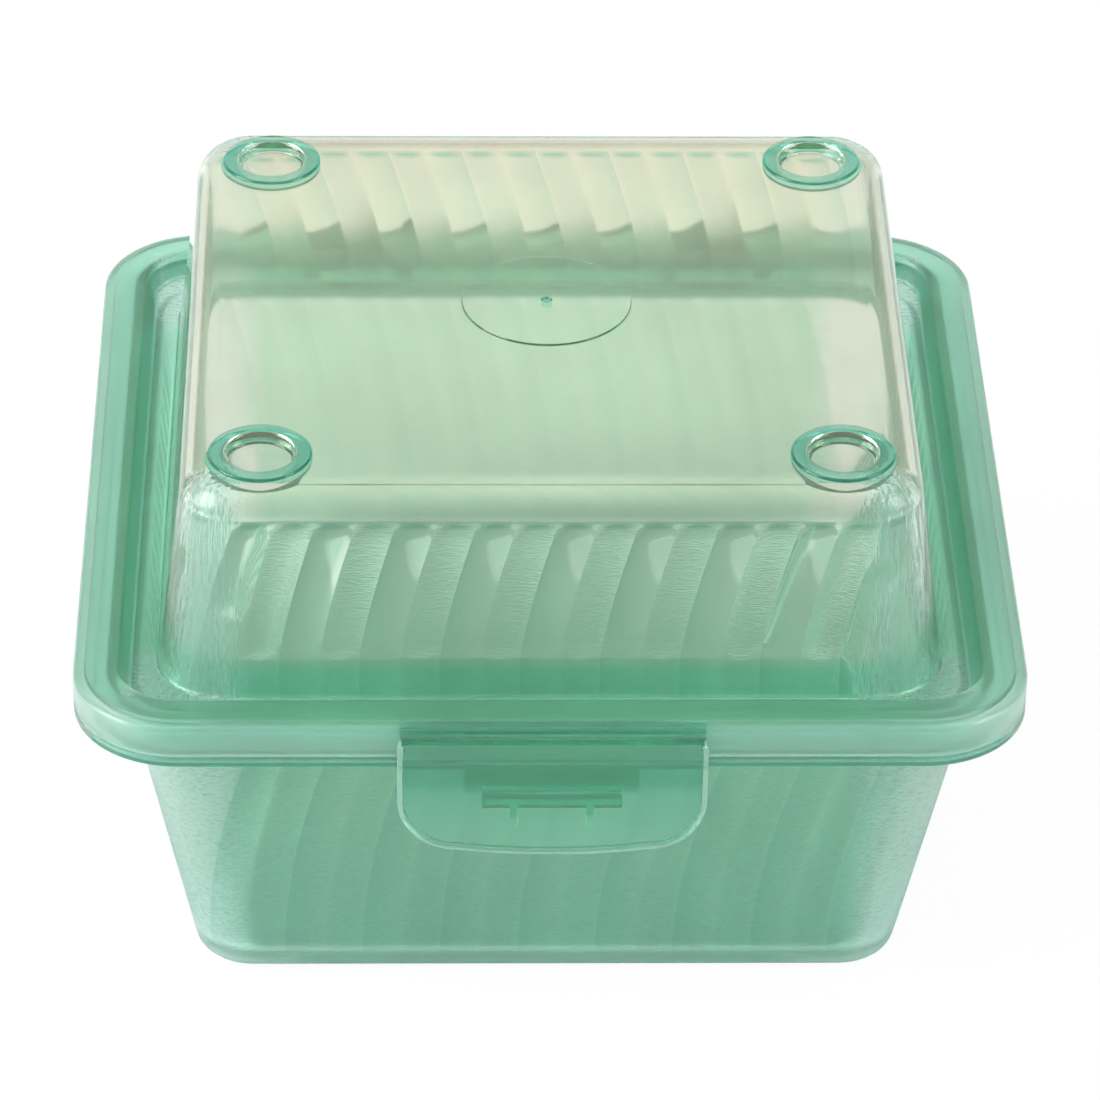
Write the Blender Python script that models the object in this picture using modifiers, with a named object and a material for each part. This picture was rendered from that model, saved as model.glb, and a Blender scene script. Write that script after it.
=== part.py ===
"""Square clamshell food container with a domed lid, moulded in clear green plastic.

The tub stands on Z = 0 with its middle at the origin and its latch towards -Y.
The lid swings on two pins behind the tub, and the finger tab swings on the front of the lid.
"""

from math import cos, pi, sin

import bmesh
import bpy
from mathutils import Matrix, Vector

# Rim: lid and tub share this outline.
RIM_WIDTH = 0.1240
RIM_CORNER = 0.0140
LIP_THICK = 0.0012
SKIRT_HEIGHT = 0.0045
SKIRT_WALL = 0.0015
LEDGE_WIDTH = 0.0015
LEDGE_STEP = 0.0005
RIM_BAND = 0.0045
RIM_SLOPE = 0.0012
CHANNEL_WIDTH = 0.0036
CHANNEL_DEPTH = 0.0030
EDGE_ROUND = 0.0004

# Tub: the wall runs in from the rim by the flange, then tapers to the floor.
TUB_HEIGHT = 0.0441
FLANGE_REACH = 0.0067
TUB_TAPER = 0.0083
TUB_WALL = 0.0018
TUB_FLOOR = 0.0018
TUB_TOP_CORNER = 0.0110
TUB_FOOT_CORNER = 0.0078
TUB_FOOT_ROUND = 0.0016
TUB_INSIDE_ROUND = 0.0020
BEAD_SETBACK = 0.0028
BEAD_THICK = 0.0015
BEAD_HEIGHT = 0.0026

# Dome of the lid.
DOME_RISE = 0.0258
DOME_TAPER = 0.0036
DOME_FOOT_CORNER = 0.0088
DOME_TOP_CORNER = 0.0072
DOME_ROUND = 0.0044
LID_WALL = 0.0016

# Ribs: leaning rounded ribs side by side on the inside of every wall of the tub and the dome.
# The cover is their share of the dome's narrowest wall.
# The most is their largest share of any wall with its corner.
# The run-out is the length in which a rib rises to its full height.
RIBS_PER_SIDE = 17
RIB_COVER = 26 / 27
RIB_MOST = 39 / 40
RIB_RISE = 0.0004
RIB_RUNOUT = 0.0028
CORNER_RUNOUT = 3 / 10
TUB_RIB_FOOT = 0.0004
TUB_RIB_HEAD = 0.0011
TUB_LEAN_START = -0.0039
TUB_LEAN = 0.0067
TUB_LEAN_CURVE = 9 / 5
LID_RIB_FOOT = 0.0014
LID_RIB_HEAD = 0.0002
LID_LEAN_START = -0.0041
LID_LEAN = 0.0049
LID_LEAN_CURVE = 13 / 10

# Stacking rings on the lid, each a hollow post that also hangs a little below the ceiling of the lid,
# and the sockets under the tub that drop over them.
RING_INSET = 0.0100
RING_OUTSIDE = 0.0134
RING_BORE = 0.0092
RING_HEIGHT = 0.0003
RING_SINK = 0.0018
RING_HANG = 0.0012
SOCKET_PLAY = 0.0003
SOCKET_DEPTH = 0.0009
DISC_WIDTH = 0.0230
DISC_HEIGHT = 0.00025

# Hinge behind the tub.
HINGE_STATION = 0.0260
PIN_WIDTH = 0.0030
PIN_PLAY = 0.0003
KNUCKLE_WALL = 0.0015
KNUCKLE_LENGTH = 0.0100
KNUCKLE_MOUTH = 0.0026
KNUCKLE_ARC = (3 * pi / 4, 29 * pi / 12)
MOUTH_ANGLE = -2 * pi / 3
SIDE_PLAY = 0.0004
EAR_THICK = 0.0024
EAR_RIM = 0.0010
EAR_ROOT = 0.0034
HINGE_DROP = 0.0005
HINGE_CLEARANCE = 0.0004

# Latch: the tab on the lid and the catch under the lip of the tub.
TAB_WIDTH = 0.0398
TAB_DROP = 0.0175
TAB_THICK = 0.0016
TAB_STANDOFF = 0.0008
TAB_CORNER = 0.0075
TAB_BOW = 0.0008
TAB_ROUND = 0.0004
TAB_SETDOWN = 0.0007
WEB_THICK = 0.0005
WEB_INSET = 0.0012
CATCH_WIDTH = 0.0223
CATCH_DROP = 0.0028
PAD_DROP = 0.0050
PAD_SETBACK = 0.0022
HOOK_WIDTH = 0.0179
HOOK_HEIGHT = 0.0022
HOOK_REACH = 0.0020
HOOK_RAMP = 0.0009
GUSSET_SPACING = 0.0098
GUSSET_THICK = 0.0010
GUSSET_DROP = 0.0030
GUSSET_DEPTH = 0.0014

# Gap kept between pieces that rest on each other, and overlap of shapes that are joined.
SEAT_GAP = 0.0003
OVERLAP = 0.0008

# Steps on a corner of the rim, on a round edge, around a pin or ring and along the tab's lower edge.
CORNER_STEPS = 8
ROUND_STEPS = 3
PIN_STEPS = 20
BOW_STEPS = 6
RING_STEPS = 32

# Steps across a rib, along the middle of a rib and round the plain corner between two ribbed walls.
RIB_STEPS = 3
RIB_ROWS = 3
PLAIN_STEPS = 7

# Heights and half widths that follow from the sizes above.
rim_half = RIM_WIDTH / 2
rim_centre = rim_half - RIM_CORNER
lip_top = TUB_HEIGHT + LIP_THICK
skirt_bottom = lip_top + SEAT_GAP
ledge_top = skirt_bottom + SKIRT_HEIGHT
rim_top = ledge_top + LEDGE_STEP
band_outside = rim_half - LEDGE_WIDTH
band_inside = band_outside - RIM_BAND
channel_outside = band_inside - RIM_SLOPE
channel_floor = rim_top - CHANNEL_DEPTH
dome_foot = channel_outside - CHANNEL_WIDTH
dome_top = dome_foot - DOME_TAPER
lid_top = rim_top + DOME_RISE
tub_top = rim_half - FLANGE_REACH
tub_foot = tub_top - TUB_TAPER
rib_field = 2 * (dome_top - LID_WALL) * RIB_COVER
ring_place = dome_top - RING_INSET
pin_radius = PIN_WIDTH / 2
knuckle_bore = pin_radius + PIN_PLAY
knuckle_radius = knuckle_bore + KNUCKLE_WALL
hinge_y = rim_half + HINGE_CLEARANCE + knuckle_radius
hinge_z = TUB_HEIGHT - HINGE_DROP
tab_top = ledge_top - TAB_SETDOWN
tab_back = -rim_half - TAB_STANDOFF
tab_front = tab_back - TAB_THICK
tab_axis_y = -rim_half - TAB_STANDOFF / 2
tab_axis_z = tab_top - WEB_THICK / 2
catch_bottom = TUB_HEIGHT - CATCH_DROP
hook_top = catch_bottom - SEAT_GAP


def start_scene():
    for old in list(bpy.data.objects):
        bpy.data.objects.remove(old, do_unlink=True)


def new_collection(name):
    collection = bpy.data.collections.new(name)
    bpy.context.scene.collection.children.link(collection)
    return collection


def new_object(name, bm, collection):
    """Closes the bmesh into an object whose faces point outwards."""
    bmesh.ops.recalc_face_normals(bm, faces=bm.faces[:])
    mesh = bpy.data.meshes.new(name)
    bm.to_mesh(mesh)
    bm.free()
    obj = bpy.data.objects.new(name, mesh)
    collection.objects.link(obj)
    if collection is tools:
        obj.hide_render = True
        obj.display_type = "WIRE"
    return obj


def section(half, corner, z):
    """Points of one level rounded square, anticlockwise from the end of the +X side."""
    centre = half - corner
    points = []
    for quarter, (side_x, side_y) in enumerate(((1, 1), (-1, 1), (-1, -1), (1, -1))):
        for step in range(CORNER_STEPS + 1):
            angle = pi / 2 * (quarter + step / CORNER_STEPS)
            x = side_x * centre + corner * cos(angle)
            y = side_y * centre + corner * sin(angle)
            points.append((x, y, z))
    return points


def rim_section(half, z):
    """A section whose corners share their centres with the rim's corners."""
    return section(half, half - rim_centre, z)


def loft(name, sections, ring=False):
    """Skins closed sections in turn: capped at both ends, or run back to the first to make a ring."""
    bm = bmesh.new()
    loops = [[bm.verts.new(point) for point in points] for points in sections]
    following = loops[1:] + loops[:1] if ring else loops[1:]
    for lower, upper in zip(loops, following):
        for index in range(len(lower)):
            after = (index + 1) % len(lower)
            bm.faces.new((lower[index], lower[after], upper[after], upper[index]))
    if not ring:
        bm.faces.new(loops[0])
        bm.faces.new(loops[-1])
    return new_object(name, bm, tools)


def slab(name, outline, axis, start, end, collection=None):
    """Extrudes an outline, given in the two other axes in order, from start to end along an axis."""
    bm = bmesh.new()
    verts = [bm.verts.new(Vector(point[:axis] + (start,) + point[axis:])) for point in outline]
    face = bm.faces.new(verts)
    grown = bmesh.ops.extrude_face_region(bm, geom=[face])["geom"]
    along = Vector((0, 0, 0))
    along[axis] = end - start
    moved = [item for item in grown if isinstance(item, bmesh.types.BMVert)]
    bmesh.ops.translate(bm, vec=along, verts=moved)
    return new_object(name, bm, collection or tools)


def box(name, low, high):
    outline = ((low[1], low[2]), (high[1], low[2]), (high[1], high[2]), (low[1], high[2]))
    return slab(name, outline, 0, low[0], high[0])


def rod(name, radius, middle, length, axis, steps):
    """A closed cylinder about a point, along X or along Z."""
    turn = Matrix.Rotation(pi / 2, 4, "Y") if axis == 0 else Matrix.Identity(4)
    bm = bmesh.new()
    bmesh.ops.create_cone(
        bm,
        cap_ends=True,
        segments=steps,
        radius1=radius,
        radius2=radius,
        depth=length,
        matrix=Matrix.Translation(middle) @ turn,
    )
    return new_object(name, bm, tools)


def arc(middle, radius, start, end):
    """Outline points around a middle, from one angle to another."""
    steps = round(PIN_STEPS * (end - start) / (2 * pi))
    angles = [between(start, end, step / steps) for step in range(steps + 1)]
    return [(middle[0] + radius * cos(angle), middle[1] + radius * sin(angle)) for angle in angles]


def boolean(target, operation, tool):
    modifier = target.modifiers.new(tool.name, "BOOLEAN")
    modifier.operation = operation
    modifier.solver = "EXACT"
    modifier.object = tool


def join(target, tool):
    boolean(target, "UNION", tool)


def cut(target, tool):
    boolean(target, "DIFFERENCE", tool)


def plastic(obj, name, colour, roughness):
    material = bpy.data.materials.new(name)
    material.use_nodes = True
    shader = material.node_tree.nodes["Principled BSDF"]
    shader.inputs["Base Color"].default_value = (*colour, 1)
    shader.inputs["Roughness"].default_value = roughness
    shader.inputs["Metallic"].default_value = 0
    obj.data.materials.append(material)


def hang_on(obj, axis_point):
    """Puts the object's origin on its joint axis and leaves its shape where it is."""
    obj.data.transform(Matrix.Translation(-axis_point))
    obj.location = axis_point


def part_of(tool, name):
    """Moves a shape from the tools to the parts under the name of its piece."""
    tools.objects.unlink(tool)
    parts.objects.link(tool)
    tool.name = name
    tool.hide_render = False
    tool.display_type = "TEXTURED"
    return tool


def between(low, high, share):
    return low + (high - low) * share


def tub_outside(z):
    """Half width of the tub's outer wall at a height."""
    return between(tub_foot, tub_top, z / TUB_HEIGHT)


def round_steps(radius):
    """Inset and rise of each step of a quarter round, from its flat to its upright side."""
    for step in range(ROUND_STEPS + 1):
        angle = pi / 2 * step / ROUND_STEPS
        yield radius * (1 - sin(angle)), radius * (1 - cos(angle))


def wall_place(half, corner, along):
    """Point on a rounded square and the way out of it there, so far round from the middle of its front."""
    straight = half - corner
    quarter = 2 * straight + corner * pi / 2
    side = round(along / quarter)
    local = along - side * quarter
    angle = max(abs(local) - straight, 0) / corner
    place = Vector((min(abs(local), straight) + corner * sin(angle), -straight - corner * cos(angle), 0))
    out = Vector((sin(angle), -cos(angle), 0))
    if local < 0:
        place.x = -place.x
        out.x = -out.x
    turn = Matrix.Rotation(side * pi / 2, 3, "Z")
    return turn @ place, turn @ out


def rib_rise(across, z, foot, head):
    """Height of a rib over the wall: round across, and falling away to a round tip at both ends."""
    share = min(max(min(z - foot, head - z) / RIB_RUNOUT, 0), 1)
    return RIB_RISE * max(4 * across * (1 - across) - (1 - share) ** 2, 0)


def ribbed_section(half, corner, z, foot, head, lean):
    """A level section of a cavity. The end ribs of a wall stop early, where they run out on a corner."""
    quarter = 2 * (half - corner) + corner * pi / 2
    field = min(rib_field, quarter * RIB_MOST)
    pitch = field / RIBS_PER_SIDE
    field_start = lean - RIBS_PER_SIDE // 2 * pitch
    early_foot = between(foot, head, CORNER_RUNOUT)
    early_head = between(head, foot, CORNER_RUNOUT)
    points = []
    for side in range(4):
        start = side * quarter + field_start
        for step in range(RIBS_PER_SIDE * RIB_STEPS):
            rib = step // RIB_STEPS
            across = step % RIB_STEPS / RIB_STEPS
            low = early_foot if rib == 0 else foot
            high = early_head if rib == RIBS_PER_SIDE - 1 else head
            place, out = wall_place(half, corner, start + step * pitch / RIB_STEPS)
            points.append(place - out * rib_rise(across, z, low, high) + Vector((0, 0, z)))
        for step in range(PLAIN_STEPS):
            along = start + field + (quarter - field) * step / PLAIN_STEPS
            place, out = wall_place(half, corner, along)
            points.append(place + Vector((0, 0, z)))
    return points


def rib_heights(foot, head):
    """Levels of the sections along the ribs, closer together at the ends."""
    runout = [RIB_RUNOUT * share for share in (0, 0.25, 1)]
    low = foot + RIB_RUNOUT
    high = head - RIB_RUNOUT
    middle = [between(low, high, step / RIB_ROWS) for step in range(1, RIB_ROWS)]
    return [foot + rise for rise in runout] + middle + [head - drop for drop in reversed(runout)]


def leaning(z, foot, head, start, lean, curve):
    """How far along the wall the ribs have moved at a height."""
    share = min(max((z - foot) / (head - foot), 0), 1)
    return start + lean * share**curve


def tub_solid():
    sections = []
    for inset, rise in round_steps(TUB_FOOT_ROUND):
        sections.append(section(tub_outside(rise) - inset, TUB_FOOT_CORNER - inset, rise))
    bead_outside = rim_half - BEAD_SETBACK
    bead_inside = bead_outside - BEAD_THICK
    bead_top = lip_top + BEAD_HEIGHT
    sections += [
        section(tub_top, TUB_TOP_CORNER, TUB_HEIGHT),
        rim_section(rim_half - EDGE_ROUND, TUB_HEIGHT),
        rim_section(rim_half, TUB_HEIGHT + EDGE_ROUND),
        rim_section(rim_half, lip_top),
        rim_section(bead_outside, lip_top),
        rim_section(bead_outside, bead_top - EDGE_ROUND),
        rim_section(bead_outside - EDGE_ROUND, bead_top),
        rim_section(bead_inside + EDGE_ROUND, bead_top),
        rim_section(bead_inside, bead_top - EDGE_ROUND),
        rim_section(bead_inside, lip_top),
    ]
    return part_of(loft("tub_outside", sections), "base_tub")


def tub_cavity():
    foot = TUB_FLOOR + TUB_INSIDE_ROUND + TUB_RIB_FOOT
    head = TUB_HEIGHT - TUB_RIB_HEAD
    mouth = lip_top + OVERLAP
    levels = [(TUB_FLOOR + rise, inset) for inset, rise in round_steps(TUB_INSIDE_ROUND)]
    levels += [(z, 0) for z in rib_heights(foot, head) + [mouth]]
    sections = []
    for z, inset in levels:
        half = tub_outside(z) - TUB_WALL - inset
        corner = between(TUB_FOOT_CORNER, TUB_TOP_CORNER - TUB_WALL, z / mouth) - inset
        lean = leaning(z, foot, head, TUB_LEAN_START, TUB_LEAN, TUB_LEAN_CURVE)
        sections.append(ribbed_section(half, corner, z, foot, head, lean))
    return loft("tub_cavity", sections)


def lid_solid():
    sections = [
        rim_section(rim_half, skirt_bottom),
        rim_section(rim_half, ledge_top - EDGE_ROUND),
        rim_section(rim_half - EDGE_ROUND, ledge_top),
        rim_section(band_outside, ledge_top),
        rim_section(band_outside - EDGE_ROUND, rim_top),
        rim_section(band_inside + EDGE_ROUND, rim_top),
        rim_section(band_inside, rim_top - EDGE_ROUND),
        rim_section(channel_outside, channel_floor),
        section(dome_foot, DOME_FOOT_CORNER, channel_floor),
    ]
    for inset, drop in reversed(list(round_steps(DOME_ROUND))):
        height = lid_top - drop
        share = (height - channel_floor) / (lid_top - channel_floor)
        half = between(dome_foot, dome_top, share) - inset
        corner = between(DOME_FOOT_CORNER, DOME_TOP_CORNER, share) - inset
        sections.append(section(half, corner, height))
    return part_of(loft("lid_outside", sections), "lid_cover")


def lid_cavity():
    foot = rim_top + LID_RIB_FOOT
    head = lid_top - DOME_ROUND - LID_RIB_HEAD
    ceiling = lid_top - LID_WALL
    mouth = skirt_bottom - OVERLAP
    levels = [(z, 0) for z in [mouth] + rib_heights(foot, head)]
    inside_round = DOME_ROUND - LID_WALL
    levels += [(ceiling - drop, inset) for inset, drop in reversed(list(round_steps(inside_round)))]
    sections = []
    for z, inset in levels:
        share = (z - channel_floor) / (lid_top - channel_floor)
        half = between(dome_foot, dome_top, share) - LID_WALL - inset
        corner = between(DOME_FOOT_CORNER, DOME_TOP_CORNER, share) - LID_WALL - inset
        lean = leaning(z, foot, head, LID_LEAN_START, LID_LEAN, LID_LEAN_CURVE)
        sections.append(ribbed_section(half, corner, z, foot, head, lean))
    return loft("lid_cavity", sections)


def rim_groove():
    """Hollow under the raised band of the lid, which the bead of the tub enters."""
    ceiling = rim_top - SKIRT_WALL
    mouth = skirt_bottom - OVERLAP
    outside = rim_half - SKIRT_WALL
    sections = [
        rim_section(outside, mouth),
        rim_section(outside, ceiling),
        rim_section(band_inside + SKIRT_WALL, ceiling),
        rim_section(channel_outside + SKIRT_WALL, mouth),
    ]
    return loft("rim_groove", sections, ring=True)


def corner_places():
    return [(x, y) for x in (-ring_place, ring_place) for y in (-ring_place, ring_place)]


def add_rings(lid):
    """Hollow posts whose tops show as raised rings, and the raised disc in the middle of the top."""
    post_bottom = lid_top - LID_WALL - RING_HANG
    post_top = lid_top + RING_HEIGHT
    recess = RING_HEIGHT + RING_SINK
    for number, (x, y) in enumerate(corner_places()):
        middle = Vector((x, y, (post_bottom + post_top) / 2))
        join(lid, rod(f"ring_{number}", RING_OUTSIDE / 2, middle, post_top - post_bottom, 2, RING_STEPS))
        middle = Vector((x, y, post_top))
        cut(lid, rod(f"ring_bore_{number}", RING_BORE / 2, middle, 2 * recess, 2, RING_STEPS))
    disc_bottom = lid_top - LID_WALL / 2
    disc_top = lid_top + DISC_HEIGHT
    middle = Vector((0, 0, (disc_bottom + disc_top) / 2))
    join(lid, rod("centre_disc", DISC_WIDTH / 2, middle, disc_top - disc_bottom, 2, RING_STEPS))


def add_sockets(tub):
    radius = RING_OUTSIDE / 2 + SOCKET_PLAY
    for number, (x, y) in enumerate(corner_places()):
        cut(tub, rod(f"socket_{number}", radius, Vector((x, y, 0)), 2 * SOCKET_DEPTH, 2, RING_STEPS))


def add_hinge_brackets(tub):
    """At each station two ears under the lip carry a moulded pin."""
    ear_radius = pin_radius + EAR_RIM
    root_low = TUB_HEIGHT - EAR_ROOT
    root_high = TUB_HEIGHT + LIP_THICK / 2
    outline = [(tub_outside(root_low) - OVERLAP, root_low)]
    outline += arc((hinge_y, hinge_z), ear_radius, -pi / 2, pi / 2)
    outline += [(rim_half - OVERLAP, root_high), (tub_top - OVERLAP, root_high)]
    for side in (-1, 1):
        station = side * HINGE_STATION
        inside = KNUCKLE_LENGTH / 2 + SIDE_PLAY
        for end in (-1, 1):
            near = station + end * inside
            far = near + end * EAR_THICK
            tag = f"{side}_{end}"
            join(tub, slab(f"ear_{tag}", outline, 0, near, far))
        middle = Vector((station, hinge_y, hinge_z))
        join(tub, rod(f"pin_{side}", pin_radius, middle, 2 * inside + EAR_THICK, 0, PIN_STEPS))


def add_hinge_hooks(lid):
    """At each station an arm from the skirt ends in a knuckle that snaps over the pin."""
    root = rim_half - OVERLAP
    outline = [(root, skirt_bottom + OVERLAP)]
    outline += arc((hinge_y, hinge_z), knuckle_radius, *KNUCKLE_ARC)
    outline += [(root, ledge_top - EDGE_ROUND)]
    outward = Vector((0, cos(MOUTH_ANGLE), sin(MOUTH_ANGLE)))
    across = Vector((0, -outward.z, outward.y)) * KNUCKLE_MOUTH / 2
    reach = outward * 2 * knuckle_radius
    axis_point = Vector((0, hinge_y, hinge_z))
    corners = [axis_point - across, axis_point + across]
    corners += [axis_point + across + reach, axis_point - across + reach]
    mouth = [(corner.y, corner.z) for corner in corners]
    for side in (-1, 1):
        start = side * HINGE_STATION - KNUCKLE_LENGTH / 2
        end = start + KNUCKLE_LENGTH
        middle = Vector((side * HINGE_STATION, hinge_y, hinge_z))
        join(lid, slab(f"hook_{side}", outline, 0, start, end))
        bore_length = KNUCKLE_LENGTH + 2 * SIDE_PLAY
        cut(lid, rod(f"knuckle_bore_{side}", knuckle_bore, middle, bore_length, 0, PIN_STEPS))
        cut(lid, slab(f"mouth_{side}", mouth, 0, start - SIDE_PLAY, end + SIDE_PLAY))


def add_catch(tub):
    """A shelf under the front lip for the hook, with a pad behind the hook."""
    inside_z = TUB_HEIGHT + LIP_THICK / 2
    wall = -tub_outside(TUB_HEIGHT - PAD_DROP) + OVERLAP
    half = CATCH_WIDTH / 2
    shelf = box("catch_shelf", (-half, -rim_half + EDGE_ROUND, catch_bottom), (half, wall, inside_z))
    join(tub, shelf)
    pad_low = (-half, -rim_half + PAD_SETBACK, TUB_HEIGHT - PAD_DROP)
    join(tub, box("catch_pad", pad_low, (half, wall, inside_z)))


def tab_outline():
    """Front outline of the tab: round lower corners and a slightly bowed lower edge."""
    half = TAB_WIDTH / 2
    straight = half - TAB_CORNER
    foot = tab_top - TAB_DROP
    corner_z = foot + TAB_BOW + TAB_CORNER
    points = [(half, tab_top), (-half, tab_top)]
    points += arc((-straight, corner_z), TAB_CORNER, pi, 3 * pi / 2)
    for step in range(1, BOW_STEPS):
        x = between(-straight, straight, step / BOW_STEPS)
        points.append((x, foot + TAB_BOW * (x / straight) ** 2))
    points += arc((straight, corner_z), TAB_CORNER, 3 * pi / 2, 2 * pi)
    return points


def latch_tab():
    tab = slab("latch_tab", tab_outline(), 1, tab_back, tab_front, parts)
    soften = tab.modifiers.new("edges", "BEVEL")
    soften.width = TAB_ROUND
    soften.segments = 2
    soften.limit_method = "ANGLE"
    web_half = TAB_WIDTH / 2 - WEB_INSET
    web_low = (-web_half, tab_back - TAB_THICK / 2, tab_top - WEB_THICK)
    join(tab, box("web", web_low, (web_half, -rim_half - SEAT_GAP, tab_top)))
    hook_inside = tab_back + HOOK_REACH
    hook_low = hook_top - HOOK_HEIGHT
    hook = (
        (tab_back - TAB_THICK / 2, hook_low),
        (hook_inside - HOOK_RAMP, hook_low),
        (hook_inside, hook_low + HOOK_RAMP),
        (hook_inside, hook_top),
        (tab_back - TAB_THICK / 2, hook_top),
    )
    join(tab, slab("hook", hook, 0, -HOOK_WIDTH / 2, HOOK_WIDTH / 2))
    gusset = (
        (tab_back - TAB_THICK / 2, hook_low - GUSSET_DROP),
        (tab_back, hook_low - GUSSET_DROP),
        (tab_back + GUSSET_DEPTH, hook_low + HOOK_HEIGHT / 4),
        (tab_back - TAB_THICK / 2, hook_low + HOOK_HEIGHT / 4),
    )
    for side in (-1, 1):
        middle = side * GUSSET_SPACING / 2
        start = middle - GUSSET_THICK / 2
        join(tab, slab(f"gusset_{side}", gusset, 0, start, start + GUSSET_THICK))
    plastic(tab, "milky_green_tab", (0.36, 0.64, 0.50), 0.35)
    return tab


def base_tub():
    tub = tub_solid()
    add_catch(tub)
    add_hinge_brackets(tub)
    cut(tub, tub_cavity())
    add_sockets(tub)
    plastic(tub, "frosted_green_tub", (0.32, 0.58, 0.43), 0.45)
    return tub


def lid_cover():
    lid = lid_solid()
    cut(lid, rim_groove())
    cut(lid, lid_cavity())
    add_rings(lid)
    add_hinge_hooks(lid)
    plastic(lid, "clear_green_lid", (0.45, 0.66, 0.50), 0.15)
    return lid


start_scene()
parts = new_collection("snap_lid_food_container")
tools = new_collection("cutters")
tub_piece = base_tub()
lid_piece = lid_cover()
tab_piece = latch_tab()
hang_on(lid_piece, Vector((0, hinge_y, hinge_z)))
hang_on(tab_piece, Vector((0, tab_axis_y, tab_axis_z)))
for piece in (tub_piece, lid_piece, tab_piece):
    piece.data.shade_smooth()
    piece.data.set_sharp_from_angle(angle=pi / 6)
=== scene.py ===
from math import asin, cos, degrees, pi, radians, sin

import bmesh
import bpy
from mathutils import Matrix, Vector


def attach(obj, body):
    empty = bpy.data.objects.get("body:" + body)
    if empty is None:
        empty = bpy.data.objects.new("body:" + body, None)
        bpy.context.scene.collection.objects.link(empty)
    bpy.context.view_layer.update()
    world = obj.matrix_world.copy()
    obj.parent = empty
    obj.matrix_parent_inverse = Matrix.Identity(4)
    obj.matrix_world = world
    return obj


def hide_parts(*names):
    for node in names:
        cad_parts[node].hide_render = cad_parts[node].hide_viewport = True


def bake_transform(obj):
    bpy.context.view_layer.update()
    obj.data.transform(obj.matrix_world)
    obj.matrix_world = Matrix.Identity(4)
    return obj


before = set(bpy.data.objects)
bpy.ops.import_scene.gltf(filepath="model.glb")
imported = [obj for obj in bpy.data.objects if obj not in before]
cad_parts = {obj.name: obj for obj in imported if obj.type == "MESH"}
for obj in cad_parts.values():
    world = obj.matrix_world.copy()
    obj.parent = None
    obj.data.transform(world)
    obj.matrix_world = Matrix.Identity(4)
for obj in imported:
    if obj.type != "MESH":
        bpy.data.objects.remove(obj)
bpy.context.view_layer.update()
scene = bpy.context.scene
scene.view_settings.view_transform = "Standard"
scene.cycles.max_bounces = 32
scene.cycles.transmission_bounces = 32
scene.cycles.glossy_bounces = 12

# Lengths of the pieces are in millimetres until a piece is finished.
RIBS = 17
RIB_COLUMNS = 8
CORNER_COLUMNS = 24
RIBBED_COLUMNS = RIBS * RIB_COLUMNS
SIDE_COLUMNS = RIBBED_COLUMNS + CORNER_COLUMNS
RIB_FIELD = 88.2
RIB_FIELD_SHARE = 0.975
RIB_RISE = 0.4
RIB_RUNOUT = 2.8
RIB_GRAIN = 0.6
CORNER_RUNOUT = 0.3
# Painted shade on the ribs: a dark crescent at each head and a band across each rib.
CRESCENT = 0.7
CRESCENT_SHADE = 1.2
BAND_SHADE = 0.55
GRAINED_BAND_SHADE = 0.45
LID_WALL = 1.6
TUB_WALL = 1.8
DOME_FOOT = 47.6
DOME_TOP = 76.4
DOME_CEILING = 74.8
DOME_FOOT_HALF = 51.2
DOME_TOP_HALF = 47.6
DOME_FOOT_CENTRE = 42.4
DOME_TOP_CENTRE = 40.4
SKIRT_FOOT = 45.6
RIM_HALF = 62.0
RIM_CENTRE = 48.0
RIM_TOP = 50.6
LEDGE_HALF = 60.5
LEDGE_TOP = 50.1
GROOVE_TOP = 49.1
TUB_FLOOR = 1.8
TUB_FOOT_HALF = 47.0
TUB_FOOT_CENTRE = 39.2
TUB_HEAD_HALF = 55.3
TUB_HEAD_CENTRE = 44.3
TUB_INSIDE_FOOT_CENTRE = 37.2
TUB_INSIDE_HEAD_CENTRE = 44.68
TUB_INSIDE_HEAD = 46.1
FLANGE_UNDER = 44.1
FLANGE_TOP = 45.3
BEAD_TOP = 47.9
RING_PLACE = 37.6
CORNER_PLACES = [(x, y) for x in (-RING_PLACE, RING_PLACE) for y in (-RING_PLACE, RING_PLACE)]
HINGE = (65.7, 43.6)
HINGE_STATIONS = (-26.0, 26.0)
PIN_RADIUS = 1.5
BORE_RADIUS = 1.8
KNUCKLE_RADIUS = 3.3
SNAP_HALF_GAP = 1.3
SNAP_ANGLE = 240
TAB_HALF = 19.9
TAB_TOP = 49.4
TAB_FOOT = 32.7
TAB_BOW = 0.8
TAB_FLAT_HALF = 12.4
TAB_BACK = -62.8
TAB_THICKNESS = 1.6
TAB_BORDER = 0.7
TAB_BORDER_GAP = 0.03
TAB_BORDER_HEAD = 48.9
FLOOR_HALF = 3000
FLOOR_DROP = 0.3
MERGE_DISTANCE = 1e-4
CRISP_ANGLE = radians(28)

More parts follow.
